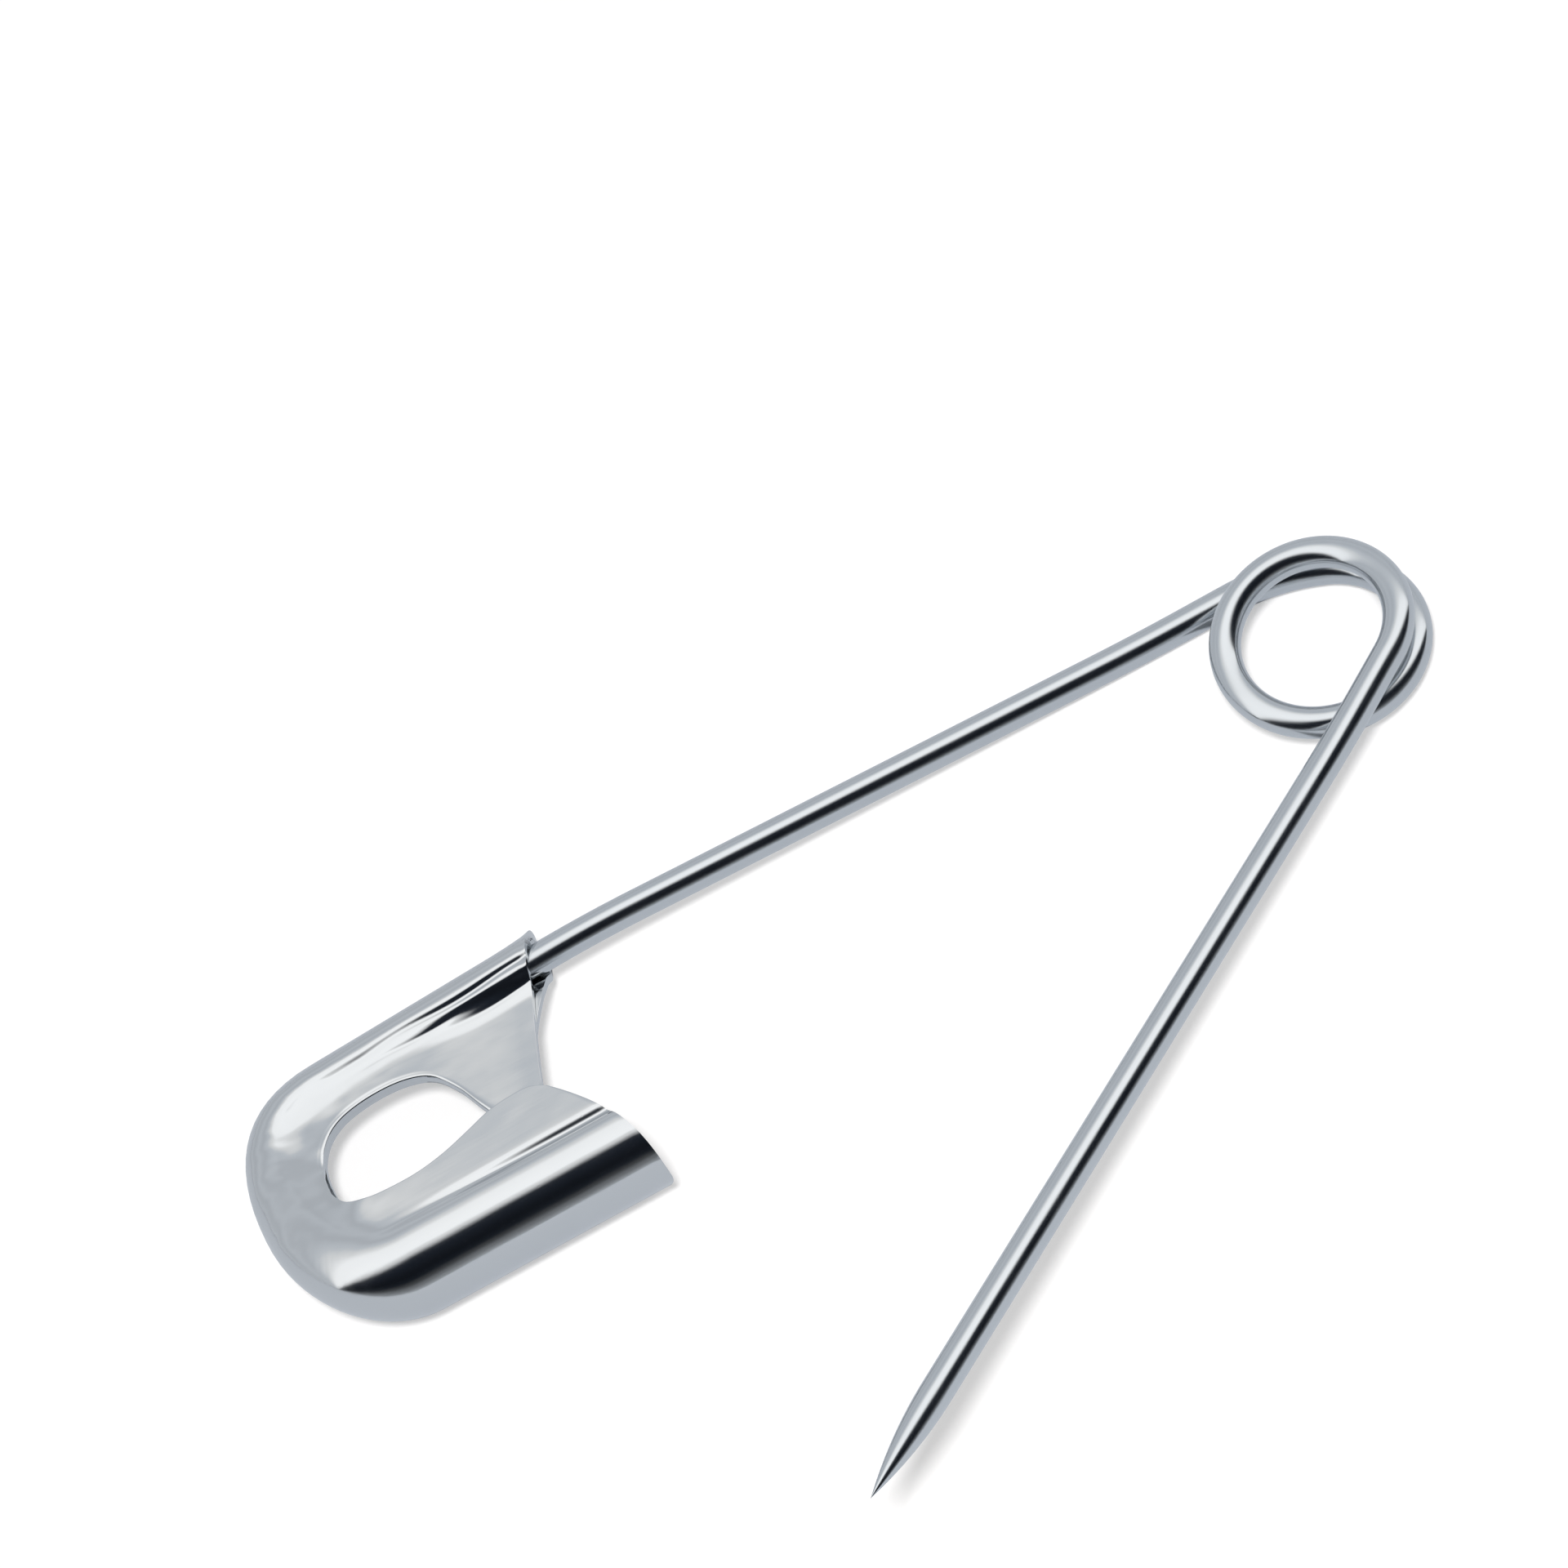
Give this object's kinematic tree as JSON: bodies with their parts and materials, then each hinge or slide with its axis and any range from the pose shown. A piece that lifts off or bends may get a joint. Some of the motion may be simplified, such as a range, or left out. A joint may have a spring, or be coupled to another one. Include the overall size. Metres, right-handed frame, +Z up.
{
  "type": "safety pin",
  "caption": "Spring-wire safety pin lying open: a straight fixed arm, a coil, a sprung pin arm with a ground point, and a folded sheet-metal cap with a channel and a window.",
  "frame": {"origin": "middle of the pin's outline on the surface that it lies on", "axes": "+X from the coil along the fixed arm to the cap, +Y the way the pin arm opens, +Z up from the surface"},
  "size_m": [0.051, 0.031, 0.0059],
  "materials": {
    "plated_wire": "polished nickel plate on drawn steel wire",
    "plated_sheet": "polished nickel plate on stamped steel sheet, with faint forming waves"
  },
  "bodies": {
    "root": {"cap": "plated_sheet", "fixed_arm": "plated_wire", "coil_lower": "plated_wire"},
    "coil_top": {"coil_upper": "plated_wire"},
    "arm_heel": {"pin_arm_heel": "plated_wire"},
    "pin_arm": {"pin_arm": "plated_wire"}
  },
  "joints": [
    {"name": "arm_swing", "type": "hinge", "parent": "root", "child": "coil_top", "pos_m": [-0.02101, -0.01021, 0.00275], "axis": [0, 0, -1], "range_deg": [0, 32], "stiffness_Nm_per_rad": 0.78},
    {"name": "arm_lift", "type": "hinge", "parent": "coil_top", "child": "arm_heel", "pos_m": [-0.02304, -0.00736, 0.00275], "axis": [-0.5807, 0.8141, 0], "range_deg": [0, 3.6], "stiffness_Nm_per_rad": 0.55},
    {"name": "arm_squeeze", "type": "hinge", "parent": "arm_heel", "child": "pin_arm", "pos_m": [-0.01649, -0.00269, 0.00308], "axis": [0, 0, 1], "range_deg": [-9, 0], "stiffness_Nm_per_rad": 1.15}
  ]
}
